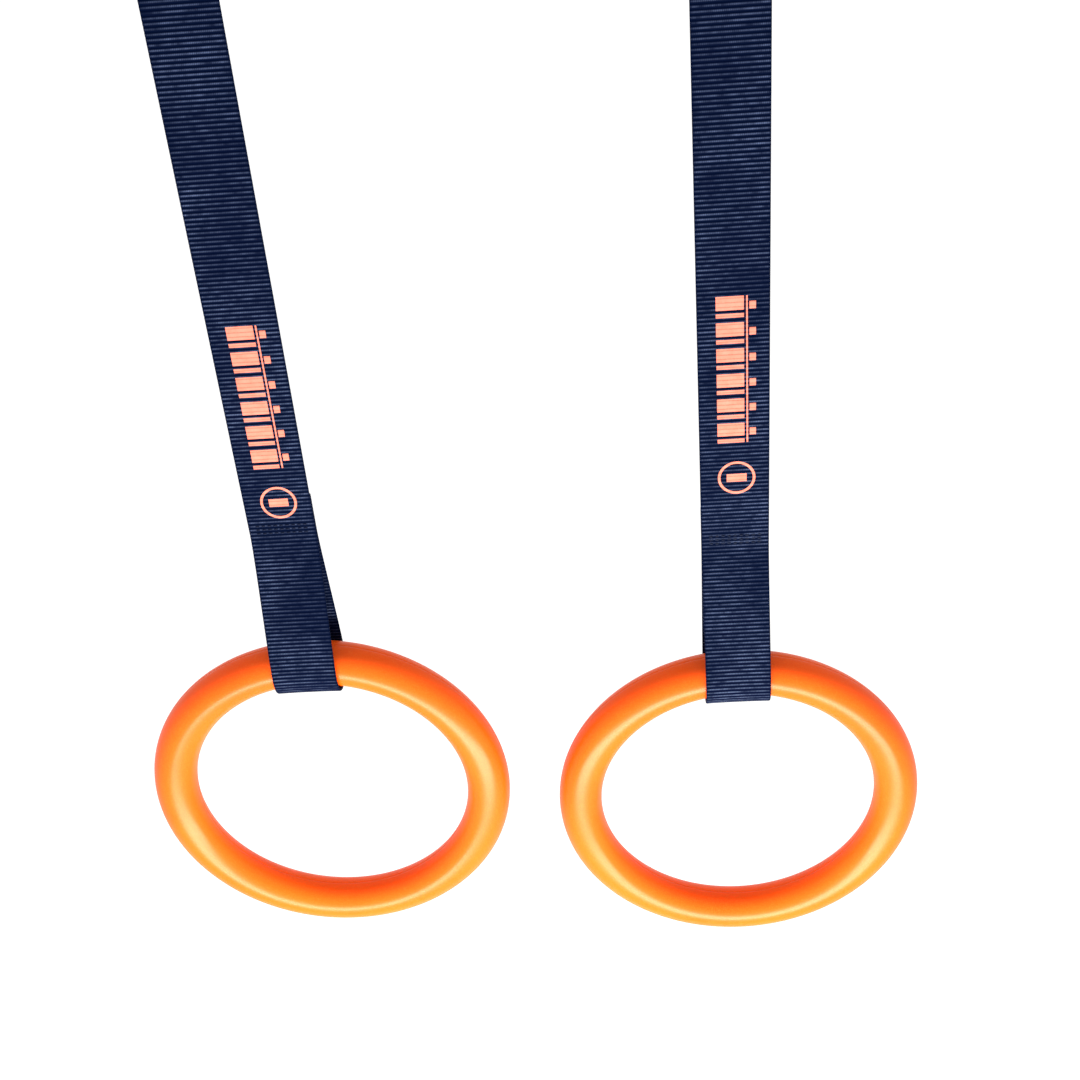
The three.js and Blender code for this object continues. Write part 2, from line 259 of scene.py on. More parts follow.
def webbing_look(name, dark, light):
    """Dark webbing, with a painted highlight on the crests of its ribs, uneven in patches and streaks."""
    look = Look(name, Specular_IOR_Level=0.01)
    across, from_crest, rib, crest, streak = rib_parts(look)
    yarn = yarns(look, across, rib)
    # The light colour is a painted highlight on the rib crests; ridge, patch, streak, yarn and fuzz set where it
    # lies.
    ridge = look.spread(from_crest, 0.05, 0.52, 1.0, 0.0)
    patch = look.spread(look.noise(look.place(), 22.0, 3.0, 0.6), 0.36, 0.62, 0.3, 1.0)
    lit = look.math("MULTIPLY", look.math("MULTIPLY", ridge, patch), look.spread(streak, 0.3, 0.68, 0.15, 1.0))
    lit = look.math("MULTIPLY", lit, look.math("MULTIPLY_ADD", yarn, 0.55, 0.5))
    fuzz = look.noise(look.place(), 2600.0, 2.0)
    lit = look.math("MULTIPLY", lit, look.spread(fuzz, 0.2, 0.8, 0.6, 1.3))
    half_width = WEB_WIDTH / MM / 2
    edge = look.spread(look.math("ABSOLUTE", across), half_width - EDGE_FROM_MM, half_width - EDGE_TO_MM)
    shade = look.mix(lit, dark, light)
    shade = look.mix(look.math("MULTIPLY", edge, 0.6), shade, dark)
    rough = look.spread(streak, 0.2, 0.8, 0.6, 0.8)
    height = look.math("ADD", look.math("MULTIPLY", crest, 0.7), look.math("MULTIPLY", yarn, 0.3))
    normal = look.bump(height, 0.00018, 0.8)
    normal = look.bump(fuzz, 0.00004, 0.5, normal)
    return look.finish(shade, rough, normal)


def ink_look():
    """Salmon ink of uneven tone, with painted shade between the ribs."""
    look = Look("ink_salmon", Specular_IOR_Level=0.15, Roughness=0.7)
    _, _, _, crest, streak = rib_parts(look)
    fuzz = look.noise(look.place(), 1500.0, 2.0)
    # Painted shade in the grooves between the ribs, uneven with the fuzz.
    groove_shade = look.math("MULTIPLY", look.math("SUBTRACT", 1.0, crest), look.spread(fuzz, 0.3, 0.7, 0.25, 0.6))
    shade = look.mix(look.spread(streak, 0.3, 0.7), (0.72, 0.18, 0.14, 1), (0.8, 0.24, 0.2, 1))
    shade = look.mix(groove_shade, shade, (0.36, 0.075, 0.045, 1))
    rough = look.spread(fuzz, 0.2, 0.8, 0.6, 0.8)
    return look.finish(shade, rough, look.bump(crest, 0.0002, 0.6))


def ring_look():
    """Orange plastic with a fine moulded grain and a little dust."""
    look = Look("ring_orange", Coat_Weight=0.24, Coat_Roughness=0.25, Specular_IOR_Level=0.08)
    place = look.place()
    broad = look.noise(place, 14.0, 3.0)
    grain = look.noise(place, 1400.0, 2.0)
    dust = look.spread(look.noise(place, 420.0, 4.0, 0.6), 0.58, 0.75)
    shade = look.mix(look.spread(broad, 0.3, 0.7), (1.0, 0.082, 0.001, 1), (1.0, 0.1, 0.0015, 1))
    shade = look.mix(look.spread(grain, 0.42, 0.75, 0.0, 0.5), shade, (1.0, 0.15, 0.01, 1))
    shade = look.mix(look.math("MULTIPLY", dust, 0.12), shade, (1.0, 0.26, 0.05, 1))
    rough = look.spread(grain, 0.2, 0.8, 0.3, 0.5)
    normal = look.bump(grain, 0.00008, 0.6)
    normal = look.bump(broad, 0.0004, 0.15, normal)
    return look.finish(shade, rough, normal)


def steel_look(name, tone, rough_low, rough_high):
    """Plated steel of a tone, with brushed lines along X and a few scuffs."""
    look = Look(name, Metallic=1.0)
    place = look.place()
    spangle = look.noise(place, 260.0, 3.0)
    brushed = look.add("ShaderNodeMapping", place)
    brushed.inputs["Scale"].default_value = (40, 900, 900)
    lines = look.noise(brushed.outputs[0], 1.0, 3.0)
    scuffs = look.spread(look.noise(place, 90.0, 5.0, 0.7), 0.55, 0.75)
    dark = tuple(0.72 * c for c in tone) + (1,)
    shade = look.mix(look.spread(spangle, 0.3, 0.7), dark, (*tone, 1))
    shade = look.mix(look.math("MULTIPLY", scuffs, 0.3), shade, (0.3, 0.29, 0.28, 1))
    smooth = look.spread(lines, 0.3, 0.7, rough_low, rough_high)
    rough = look.math("ADD", smooth, look.math("MULTIPLY", scuffs, 0.12))
    return look.finish(shade, rough, look.bump(lines, 0.00003, 0.4))


def thread_look():
    """Thread of nearly the webbing's colour, with a fine twist."""
    look = Look("thread_navy", Specular_IOR_Level=0.08)
    place = look.place()
    twist = look.noise(place, 3000.0, 1.0)
    shade = look.mix(look.spread(twist, 0.3, 0.7), (0.003, 0.006, 0.022, 1), (0.014, 0.022, 0.062, 1))
    return look.finish(shade, look.spread(twist, 0.2, 0.8, 0.4, 0.65), look.bump(twist, 0.00005, 0.7))


def floor_look():
    """Near white, and lit a little from within, so that it clips to white."""
    look = Look("pale_floor", Specular_IOR_Level=0.1)
    grain = look.noise(look.place(), 40.0, 3.0)
    shade = look.mix(grain, (0.93, 0.93, 0.93, 1), (0.96, 0.96, 0.96, 1))
    look.feed(1.0, look.shader.inputs["Emission Strength"])
    look.feed((0.4, 0.4, 0.4, 1), look.shader.inputs["Emission Color"])
    return look.finish(shade, look.spread(grain, 0.3, 0.7, 0.85, 0.95))


NAVY_DARK = (0.0003, 0.0024, 0.017, 1)
# The second navy is the painted highlight on the webbing's rib crests.
NAVY_CREST_HIGHLIGHT = (0.092, 0.126, 0.26, 1)
LOOKS = {
    "webbing": webbing_look("webbing_navy", NAVY_DARK, NAVY_CREST_HIGHLIGHT),
    # The elastic's lighter colour is a painted highlight on its rib crests.
    "elastic": webbing_look("elastic_black", (0.004, 0.004, 0.005, 1), (0.05, 0.05, 0.055, 1)),
    "ink": ink_look(),
    "ring": ring_look(),
    "steel": steel_look("buckle_zinc", (0.66, 0.67, 0.68), 0.22, 0.4),
    "spring": steel_look("spring_wire", (0.42, 0.42, 0.44), 0.25, 0.35),
    "thread": thread_look(),
}

# ---------------------------------------------------------------- meshes


def new_piece(name, points, faces, look, uv=None, smooth=True):
    """A mesh object. uv gives one pair for each point."""
    mesh = bpy.data.meshes.new(name)
    mesh.from_pydata([tuple(p) for p in points], [], faces)
    mesh.validate()
    if uv is not None:
        layer = mesh.uv_layers.new(name="weave")
        corners = np.zeros(len(mesh.loops), int)
        mesh.loops.foreach_get("vertex_index", corners)
        layer.data.foreach_set("uv", np.asarray(uv, float)[corners].reshape(-1))
    mesh.polygons.foreach_set("use_smooth", [smooth] * len(mesh.polygons))
    mesh.materials.append(LOOKS[look])
    return in_scene(name, mesh)


BEZIER_STEPS = 40
SAME_POINT = 1e-6


def arc(centre, radius, start, end, steps):
    """Points of an arc in the Y-Z plane; angles in degrees from +Y towards +Z."""
    angles = np.radians(np.linspace(start, end, steps + 1))
    return [(centre[0] + radius * math.cos(a), centre[1] + radius * math.sin(a)) for a in angles]


def bezier(a, b, c, d):
    """Points of a cubic curve from a to d, with handles b and c."""
    a, b, c, d = (np.array(p, float) for p in (a, b, c, d))
    t = np.linspace(0, 1, BEZIER_STEPS + 1)[:, None]
    line = (1 - t) ** 3 * a + 3 * (1 - t) ** 2 * t * b + 3 * (1 - t) * t ** 2 * c + t ** 3 * d
    return [tuple(p) for p in line]


def joined(*stretches):
    """Several stretches of points as one line, with no point twice."""
    line = [stretches[0][0]]
    for p in (p for stretch in stretches for p in stretch):
        if math.dist(p, line[-1]) > SAME_POINT:
            line.append(p)
    return np.array(line)


def length_of(line):
    return float(np.linalg.norm(np.diff(line, axis=0), axis=1).sum())


RIB_PITCH = 2.6 * MM
RIB_HEIGHT = 0.22 * MM
RIB_ROWS = ((0.0, 0.0), (0.14, 0.75), (0.32, 1.0), (0.68, 1.0), (0.86, 0.75))  # place in a rib, and height
ROW_MARGIN = 0.1 * MM  # no row of a mesh is nearer than this to an end
WAY_REACH = 0.6 * MM  # a webbing's direction is taken over this much of it to either side
EDGE_ROUND = 0.1 * MM  # the webbing thins this far inside its edge,
EDGE_THIN = 0.72  # to this share of its thickness,
EDGE_FLAT = 0.7 * MM  # and is flat from this far inside it


def rib_height(ribs):
    places = [p for p, _ in RIB_ROWS] + [1.0]
    heights = [h for _, h in RIB_ROWS] + [0.0]
    return np.interp(np.mod(ribs, 1.0), places, heights)


def row_places(length, start, pitch):
    """Distances along a webbing at which its mesh has a row, with start as the webbing's length before it."""
    first, last = int(start / pitch) - 1, int((start + length) / pitch) + 1
    marks = [(k + p) * pitch - start for k in range(first, last + 1) for p, _ in RIB_ROWS]
    inside = [m for m in marks if ROW_MARGIN < m < length - ROW_MARGIN]
    return np.array([0.0, *inside, length])


def web_section(width, thick, columns):
    """Points round a webbing's section: across, height, and the side a rib rises to."""
    edge = width / 2
    flat = np.linspace(-edge + EDGE_FLAT, edge - EDGE_FLAT, columns)
    across = [-edge + EDGE_ROUND, *flat, edge - EDGE_ROUND]
    lift = np.full(len(across), thick / 2)
    lift[[0, -1]] *= EDGE_THIN
    section = [(a, h, 1) for a, h in zip(across, lift)] + [(edge, 0.0, 0)]
    return section + [(a, -h, -1) for a, h in zip(across[::-1], lift[::-1])] + [(-edge, 0.0, 0)]


def webbing(
    name, line, place, look="webbing", start=0.0, bent=None, closed=False,
    width=WEB_WIDTH, thick=WEB_THICK, pitch=RIB_PITCH, rib=RIB_HEIGHT, columns=14,
):
    """A ribbed webbing that follows a line of points, with its width square to them.

    place(across, u, v) puts a point of the line's plane in the room, and bent(point) may move it from there.
    start is the length of webbing before it, so that ribs run on from one piece to the next.
    closed joins its two ends, and columns is the number of points across it.
    """
    along = np.concatenate([[0], np.cumsum(np.linalg.norm(np.diff(line, axis=0), axis=1))])
    length = along[-1]
    if closed:
        pitch = length / round(length / pitch)
    at = row_places(length, start, pitch)
    if closed:
        at = at[:-1]

    def on_line(distance):
        distance = np.mod(distance, length) if closed else np.clip(distance, 0, length)
        return np.stack([np.interp(distance, along, line[:, k]) for k in range(2)], axis=1)

    centre = on_line(at)
    way = on_line(at + WAY_REACH) - on_line(at - WAY_REACH)
    way /= np.linalg.norm(way, axis=1)[:, None]
    out = np.stack([-way[:, 1], way[:, 0]], axis=1)
    ribs = (at + start) / pitch
    rises = rib * (rib_height(ribs) - 1)
    section = web_section(width, thick, columns)
    points, uv = [], []
    for (u, v), (ou, ov), rise, count in zip(centre, out, rises, ribs):
        for a, h, side in section:
            off = h + side * rise
            points.append(place(a, u + ou * off, v + ov * off))
            uv.append((a / MM, count))
    n, rows = len(section), len(at)
    faces = [
        (i * n + j, i * n + (j + 1) % n, (i + 1) % rows * n + (j + 1) % n, (i + 1) % rows * n + j)
        for i in range(rows if closed else rows - 1) for j in range(n)
    ]
    if not closed:
        faces += [tuple(range(n))[::-1], tuple((rows - 1) * n + j for j in range(n))]
    if bent:
        points = [bent(p) for p in points]
    piece = new_piece(name, points, faces, look, uv)
    make_outward(piece)
    return piece


def upright(x):
    """Puts a point of a route in the Y-Z plane at that x."""
    return lambda across, y, z: (x + across, y, z)


def make_outward(piece):
    """Turns the faces round if they point inwards."""
    mesh = piece.data
    mesh.calc_loop_triangles()
    points = np.array([v.co for v in mesh.vertices])
    t = np.array([tuple(tri.vertices) for tri in mesh.loop_triangles])
    a, b, c = points[t[:, 0]], points[t[:, 1]], points[t[:, 2]]
    if (a * np.cross(b, c)).sum() < 0:
        mesh.flip_normals()


# ---------------------------------------------------------------- the webbing's route

SEAM_Z = SWAY_AXIS - 26 * MM  # where the head's piece ends and the drop's begins
FIT = 0.3 * MM  # between a bar and the webbing round it
EYE_ROOM = 2.4 * MM  # between the tube and the eye, which lies flat across the tube's curve
SADDLE_DROP = 0.3 * MM  # from the tube's axis down to that of the saddle's curve
SADDLE_BEND = 0.15  # how far the webbing under the tube takes the ring's curve, from 0 to 1
BEND_TOP = 45 * MM  # above this height over the tube's axis it takes none
LEG_STRAIGHT = 0.13  # handles of a leg's curve, as shares of the height of the join
LEG_CLOSING = 0.8
LEG_SPREAD = 0.9 * MM
END_SHORT = 0.3 * MM  # the eye's rear end stops this far below the top of the join


def eye_line(side):
    """From the seam below the sway axis down the front, under the tube, and up to the eye's rear end."""
    z = tube_z(side)
    merge, top = (h - z for h in join_heights(side))
    reach = TUBE_RADIUS + EYE_ROOM + HALF_WEB

    def leg(s, y):
        """One leg of the eye, from beside the tube up to the join; s is -1 in front."""
        beside, up = (s * reach, LEG_STRAIGHT * merge), (y + s * LEG_SPREAD, LEG_CLOSING * merge)
        return bezier((s * reach, -SADDLE_DROP), beside, up, (y, merge))

    rear = [(REAR_LAYER_Y, merge), (REAR_LAYER_Y, top - END_SHORT)]
    under = arc((0, -SADDLE_DROP), reach, 180, 360, 40)
    line = joined([(0, SEAM_Z - z), (0, merge)], leg(-1, 0)[::-1], under, leg(1, REAR_LAYER_Y), rear)
    line[:, 1] += z
    return line


def follow_ring(side):
    """Bends webbing near the top tube a little along the ring's own curve."""
    x, z = strap_x(side), tube_z(side)

    def bent(p):
        above = p[2] - z
        share = 1 - min(max(above / BEND_TOP, 0), 1)
        share = SADDLE_BEND * share * share * (3 - 2 * share)
        radius = RING_RADIUS + min(above, 0)
        drop = radius - math.sqrt(radius ** 2 - (p[0] - x) ** 2)
        return (p[0], p[1], p[2] - share * drop)

    return bent


REAR_HANDLE = 40 * MM  # handles of the curves of the loop's two legs
FRONT_HANDLE = 45 * MM


def loop_line():
    """From the buckle up the rear leg, over the bar and down the front leg to the head."""
    r = TURN_RADIUS
    rear = bezier((PASS_Y, PASS_TOP), (PASS_Y, PASS_TOP + REAR_HANDLE), (r, -REAR_HANDLE), (r, 0))
    front = bezier((-r, 0), (-r, -FRONT_HANDLE), (0, HEAD_TOP + FRONT_HANDLE), (0, HEAD_TOP))
    return joined(rear, arc((0, 0), r, 0, 180, 48), front)


def head_line():
    return np.array([(0, HEAD_TOP), (0, SEAM_Z)])


LEAD_BELOW_BAR = 3.8 * MM  # the spare webbing starts to bend back this far below the buckle's bar
LEAD_BEND = 10 * MM  # radius
LEAD_SLOPE = 14.0  # degrees below level at which it meets the roll
ROLL_PITCH = WEB_THICK + 0.08 * MM
ROLL_CORE = 15 * MM  # radius of the hollow in the roll
ROLL_LIFT = 2.3 * MM  # how far the end of the outer turn stands off, where the lead joins the roll
ROLL_LIFT_TURN = 0.25  # it settles over this part of a turn
STEPS_PER_TURN = 72


def tail_line():
    """Through the buckle, back over the top of the roll, and round it to its core."""
    bend_z = BAR_LOW.z - LEAD_BELOW_BAR
    bend = arc((PASS_Y + LEAD_BEND, bend_z), LEAD_BEND, 180, 270 - LEAD_SLOPE, 14)
    first = ROLL_RADIUS - HALF_WEB
    turns = (first - ROLL_CORE) / ROLL_PITCH
    spiral = []
    for turn in np.linspace(0, turns, int(turns * STEPS_PER_TURN)):
        radius = first - ROLL_PITCH * turn + ROLL_LIFT * max(0, 1 - turn / ROLL_LIFT_TURN) ** 2
        angle = math.radians(90 - LEAD_SLOPE - 360 * turn)
        spiral.append((ROLL_CENTRE[0] + radius * math.cos(angle), ROLL_CENTRE[1] + radius * math.sin(angle)))
    return joined([(PASS_Y, PASS_TOP), (PASS_Y, bend_z)], bend, spiral)


TAIL_LENGTH = length_of(tail_line())
LOOP_LENGTH = length_of(loop_line())
HEAD_LENGTH = length_of(head_line())
LOOP_AND_HEAD = LOOP_LENGTH + HEAD_LENGTH


def twist_with(piece, side):
    """Bakes a piece's transform into its mesh; the piece goes on no body, so it does not turn with the ring."""
    x, z = strap_x(side), tube_z(side)
    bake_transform(piece)


def nodes_of(side, *names):
    return [f"{name}_{side}" for name in names]


def make_strap(side):
    x = strap_x(side)
    loop = webbing(f"bar_loop_{side}", loop_line(), upright(x))
    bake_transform(loop)
    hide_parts(*nodes_of(side, "strap_top_turn", "strap_front_leg", "strap_rear_leg"))
    head = webbing(f"strap_head_web_{side}", head_line(), upright(x), start=LOOP_LENGTH)
    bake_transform(head)
    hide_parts(f"strap_head_{side}")
    line = eye_line(side)
    drop = webbing(f"strap_and_eye_{side}", line, upright(x), start=LOOP_AND_HEAD, bent=follow_ring(side))
    twist_with(drop, side)
    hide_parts(*nodes_of(side, "strap_drop", "eye_join", "eye_front_leg", "eye_rear_leg", "strap_saddle"))
    tail = webbing(f"spare_webbing_{side}", tail_line(), upright(x), start=-TAIL_LENGTH % RIB_PITCH, columns=2)
    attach(tail, f"hanger_{side}")
    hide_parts(*nodes_of(side, "tail_lead", "tail_roll"))


# ---------------------------------------------------------------- buckle tab, keeper and stitching

TAB_CLOSED = 16 * MM  # the tab's rear layer lies against its first from this far below the bar
TAB_HANDLES = 8 * MM, 10 * MM  # of the curve down to there


def tab_line():
    """Up beside the strap, over the buckle's bar and down again behind the first layer."""
    y, z = TAB_BAR
    reach = TAB_BAR_RADIUS + FIT + HALF_WEB
    front, rear = y - reach, y - reach + WEB_THICK + FIT
    end = z - TAB_CLOSED
    down = bezier((y + reach, z), (y + reach, z - TAB_HANDLES[0]), (rear, end + TAB_HANDLES[1]), (rear, end))
    over = arc(TAB_BAR, reach, 180, 0, 24)
    return joined([(front, TAB_BOTTOM), (front, z)], over, down, [(rear, TAB_BOTTOM)])


KEEPER_THICK = 1.4 * MM
KEEPER_CORNER = 2.2 * MM  # radius
KEEPER_PITCH = 1.5 * MM
KEEPER_RIB = 0.16 * MM
HUG_FROM = 0.6  # the band starts to follow the roll this far behind its centre, in roll radii,
HUG_OVER = 0.35  # and does so fully after this much more


def keeper_line(low, high):
    """The middle line of the keeper's band, seen from above, starting behind the roll."""
    half = KEEPER_THICK / 2
    x = (high.x - low.x) / 2 - half - KEEPER_CORNER
    front, back = low.y + half + KEEPER_CORNER, high.y - half - KEEPER_CORNER
    line = [(0, high.y - half)]
    for centre, turn in (((-x, back), 90), ((-x, front), 180), ((x, front), 270), ((x, back), 0)):
        line += arc(centre, KEEPER_CORNER, turn, turn + 90, 6)
    return joined(line, line[:1])


STITCH = 2.7 * MM  # length of one stitch
STITCH_STEP = 3.5 * MM
THREAD = 0.36 * MM  # radius
STITCH_SIDES = 8
# Sections of a stitch: place along it, share of the thread's radius, and height in thread radii.
STITCH_SECTIONS = ((0.0, 0.35, -0.8), (0.12, 0.9, 0.1), (0.5, 1.0, 0.45), (0.88, 0.9, 0.1), (1.0, 0.35, -0.8))
BOX_HALF = 14.5 * MM  # the crossed box sewn through the tab, and its height from the tab's lower end
BOX_LOW, BOX_HIGH = 4 * MM, 26 * MM
TACK_HALF = 16 * MM  # the rows sewn across the eye's join, and their heights from its lower end
TACKS = 2 * MM, 4.6 * MM, 7.2 * MM


def tube_faces(rings, sides, base=0):
    """Faces of a round tube closed at both ends, whose points run ring by ring from number base."""
    faces = []
    for i in range(rings - 1):
        for j in range(sides):
            this, after, n = base + i * sides, base + (i + 1) * sides, (j + 1) % sides
            faces.append((this + j, this + n, after + n, after + j))
    last = base + (rings - 1) * sides
    return faces + [tuple(range(base, base + sides))[::-1], tuple(range(last, last + sides))]


def stitching(name, routes, place, body):
    """Rows of stitches along routes of (across, up) corners. place(across, up, proud) puts a point on a face."""
    points, faces = [], []
    for route in routes:
        for a, b in zip(route, route[1:]):
            a, b = Vector(a), Vector(b)
            count = max(1, round((b - a).length / STITCH_STEP))
            way = (b - a) / count
            step = way.normalized()
            square = Vector((-step.y, step.x))
            for k in range(count):
                begin = a + way * k + step * (way.length - STITCH) / 2
                faces += tube_faces(len(STITCH_SECTIONS), STITCH_SIDES, len(points))
                for share, fat, proud in STITCH_SECTIONS:
                    middle = begin + step * STITCH * share
                    for j in range(STITCH_SIDES):
                        turn = 2 * math.pi * j / STITCH_SIDES
                        at = middle + square * THREAD * fat * math.cos(turn)
                        points.append(place(at.x, at.y, THREAD * (proud + fat * math.sin(turn))))
    piece = new_piece(name, points, faces, "thread")
    make_outward(piece)
    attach(piece, body)


def crossed_box(x, low, high):
    around = [(-x, low), (x, low), (x, high), (-x, high), (-x, low)]
    return [around, [(-x, low), (x, high)], [(x, low), (-x, high)]]


def on_face(x, y, outward):
    """Puts a point on a flat face of webbing at that y; outward is -1 for a front face and +1 for a rear one."""
    return lambda across, up, proud: (x + across, y + outward * proud, up)


def make_keeper(side):
    """The elastic band round the strap and the roll, bulging with the roll behind."""
    x = strap_x(side)
    node = f"tail_keeper_{side}"
    low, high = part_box(node)
    middle, width = (low.z + high.z) / 2, high.z - low.z
    hug = ROLL_RADIUS + KEEPER_THICK
    line = keeper_line(low, high)

    def round_roll(p):
        share = min(max((p[1] - ROLL_CENTRE[0] - HUG_FROM * ROLL_RADIUS) / (HUG_OVER * ROLL_RADIUS), 0), 1)
        give = hug - math.sqrt(hug ** 2 - (p[2] - middle) ** 2)
        return (p[0], p[1] - share * give, p[2])

    def place(across, u, v):
        return (x + u, v, middle + across)

    keeper = webbing(
        f"keeper_band_{side}", line, place, look="elastic", bent=round_roll, closed=True,
        width=width, thick=KEEPER_THICK, pitch=KEEPER_PITCH, rib=KEEPER_RIB, columns=12,
    )
    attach(keeper, f"hanger_{side}")
    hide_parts(node)


def make_sewn_parts(side):
    x = strap_x(side)
    tab = webbing(f"buckle_tab_web_{side}", tab_line(), upright(x))
    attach(tab, f"hanger_{side}")
    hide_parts(f"buckle_tab_{side}")
    length_of(tab_line())
    make_keeper(side)
    front = on_face(x, -HALF_WEB, -1)
    rear_of_tab = TAB_BAR[0] - TAB_BAR_RADIUS + WEB_THICK
    box = crossed_box(BOX_HALF, TAB_BOTTOM + BOX_LOW, TAB_BOTTOM + BOX_HIGH)
    stitching(f"tab_stitches_front_{side}", box, front, f"hanger_{side}")
    stitching(f"tab_stitches_rear_{side}", box, on_face(x, rear_of_tab, 1), f"hanger_{side}")
    merge = join_heights(side)[0]
    tacks = [[(-TACK_HALF, merge + up), (TACK_HALF, merge + up)] for up in TACKS]
    stitching(f"eye_stitches_front_{side}", tacks, front, f"eye_{side}")
    stitching(f"eye_stitches_rear_{side}", tacks, on_face(x, REAR_LAYER_Y + HALF_WEB, 1), f"eye_{side}")


# ---------------------------------------------------------------- the print

INK_TOP = -527 * MM  # upper end of the print, from the bar's axis
INK_PROUD = 0.05 * MM
INK_SUNK = -0.12 * MM
INK_COLUMN = 2.5 * MM  # spacing of a printed bar's columns of points
BARS = -9.5 * MM, 5.7 * MM  # from here to there across the webbing, right being positive
SQUARES = 8.7 * MM, 12.2 * MM
LINE = 6.9 * MM, 7.8 * MM
BAR_PAIRS = 6
PAIR_STEP = 15.6 * MM
THICK_BAR = 0.0, 8.2 * MM  # heights of each pair's marks, down from its upper end
THIN_BAR = 10.2 * MM, 12.6 * MM
SQUARE = 3.4 * MM, 7.8 * MM
LINE_LENGTH = 90.6 * MM
CIRCLE_DOWN = 114 * MM  # from the print's upper end to the circle's centre
CIRCLE_ACROSS = 1.1 * MM
CIRCLE = 9.3 * MM, 10.8 * MM  # inner and outer radius
CIRCLE_BAR = -4.6 * MM, 6.8 * MM
CIRCLE_BAR_HALF = 2.6 * MM


def front_face(side):
    """Puts a point on the front face of the strap above the ring, following its ribs."""
    x = strap_x(side)

    def place(across, z, proud):
        rib = (SEAM_Z - z + LOOP_AND_HEAD) / RIB_PITCH
        rise = RIB_HEIGHT * (float(rib_height(rib)) - 1)
        return (x + across, -HALF_WEB - rise - proud, z), (across / MM, rib)

    return place


def ink_patch(place, grid, round_it):
    """Points, faces and uv of a thin closed layer over a grid of (across, z). round_it joins its rows' two ends."""
    rows, cols = len(grid), len(grid[0])
    laid = [place(a, z, proud) for proud in (INK_PROUD, INK_SUNK) for row in grid for a, z in row]
    points, uv = [p for p, _ in laid], [t for _, t in laid]
    under = rows * cols
    ends = cols if round_it else cols - 1
    faces = []
    for i in range(rows - 1):
        for j in range(ends):
            a, b = i * cols + j, i * cols + (j + 1) % cols
            c, d = (i + 1) * cols + (j + 1) % cols, (i + 1) * cols + j
            faces += [(a, b, c, d), (under + d, under + c, under + b, under + a)]
    last = (rows - 1) * cols
    rim = [(j, (j + 1) % cols) for j in range(ends)]
    rim += [(last + (j + 1) % cols, last + j) for j in range(ends)]
    if not round_it:
        rim += [((i + 1) * cols, i * cols) for i in range(rows - 1)]
        rim += [(i * cols + cols - 1, (i + 1) * cols + cols - 1) for i in range(rows - 1)]
    faces += [(a, under + a, under + b, b) for a, b in rim]
    return points, faces, uv


def ink_bar(across, high, low):
    """A grid over a rectangle, with a row at each change of the ribs' height."""
    left, right = across
    places = row_places(high - low, SEAM_Z - high + LOOP_AND_HEAD, RIB_PITCH)
    cols = np.linspace(left, right, max(2, round((right - left) / INK_COLUMN) + 1))
    return [[(a, high - p) for a in cols] for p in places]


def ink_circle(z):
    """A grid round the circle, in five rows from its inner to its outer radius."""
    turns = np.linspace(0, 2 * math.pi, 180, endpoint=False)
    radii = np.linspace(*CIRCLE, 5)
    return [[(CIRCLE_ACROSS + r * math.cos(t), z + r * math.sin(t)) for t in turns] for r in radii]


def make_print(side):
    """Plain bars, squares, a line and a circle, where the strap has its printing."""
    place = front_face(side)
    marks = []
    for k in range(BAR_PAIRS):
        high = INK_TOP - k * PAIR_STEP
        for across, (top, bottom) in ((BARS, THICK_BAR), (BARS, THIN_BAR), (SQUARES, SQUARE)):
            marks.append(ink_bar(across, high - top, high - bottom))
    marks.append(ink_bar(LINE, INK_TOP, INK_TOP - LINE_LENGTH))
    middle = INK_TOP - CIRCLE_DOWN
    circle = ink_circle(middle)
    marks.append(circle)
    marks.append(ink_bar(CIRCLE_BAR, middle + CIRCLE_BAR_HALF, middle - CIRCLE_BAR_HALF))
    points, faces, uv = [], [], []
    for grid in marks:
        p, f, t = ink_patch(place, grid, round_it=grid is circle)
        faces += [tuple(len(points) + k for k in face) for face in f]
        points += p
        uv += t
    piece = new_piece(f"print_{side}", points, faces, "ink", uv, smooth=False)
    twist_with(piece, side)


# ---------------------------------------------------------------- the buckle

SHARP_CORNER = math.radians(35)  # edges that turn by more than this are rounded
SHARP_SHADING = math.radians(32)
FLAT_ENOUGH = math.radians(1)
WELD = 0.01 * MM
WIRE_SIDES = 10
SPRING_WIRE = 0.5 * MM  # radius
SPRING_TURNS = 3
SPRING_STEPS = 48  # in one turn
SPRING_LEG = 4.5 * MM


def settle(piece):
    """Applies a piece's modifiers to its mesh."""
    graph = bpy.context.evaluated_depsgraph_get()
    graph.update()
    mesh = bpy.data.meshes.new_from_object(piece.evaluated_get(graph))
    piece.modifiers.clear()
    piece.data = mesh


def rounded_steel(node, name, body, bevel):
    """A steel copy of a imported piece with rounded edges, which replaces it."""
    mesh = frame["nodes"][node].data.copy()
    shape = bmesh.new()
    shape.from_mesh(mesh)
    bmesh.ops.remove_doubles(shape, verts=shape.verts, dist=WELD)
    bmesh.ops.dissolve_limit(shape, angle_limit=FLAT_ENOUGH, verts=shape.verts, edges=shape.edges)
    shape.to_mesh(mesh)
    shape.free()
    mesh.materials.clear()
    mesh.materials.append(LOOKS["steel"])
    piece = in_scene(name, mesh)
    soften = piece.modifiers.new("soften", "BEVEL")
    soften.width = bevel
    soften.segments = 3
    soften.limit_method = "ANGLE"
    soften.angle_limit = SHARP_CORNER
    settle(piece)
    piece.data.polygons.foreach_set("use_smooth", [True] * len(piece.data.polygons))
    piece.data.set_sharp_from_angle(angle=SHARP_SHADING)
    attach(piece, body)
    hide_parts(node)


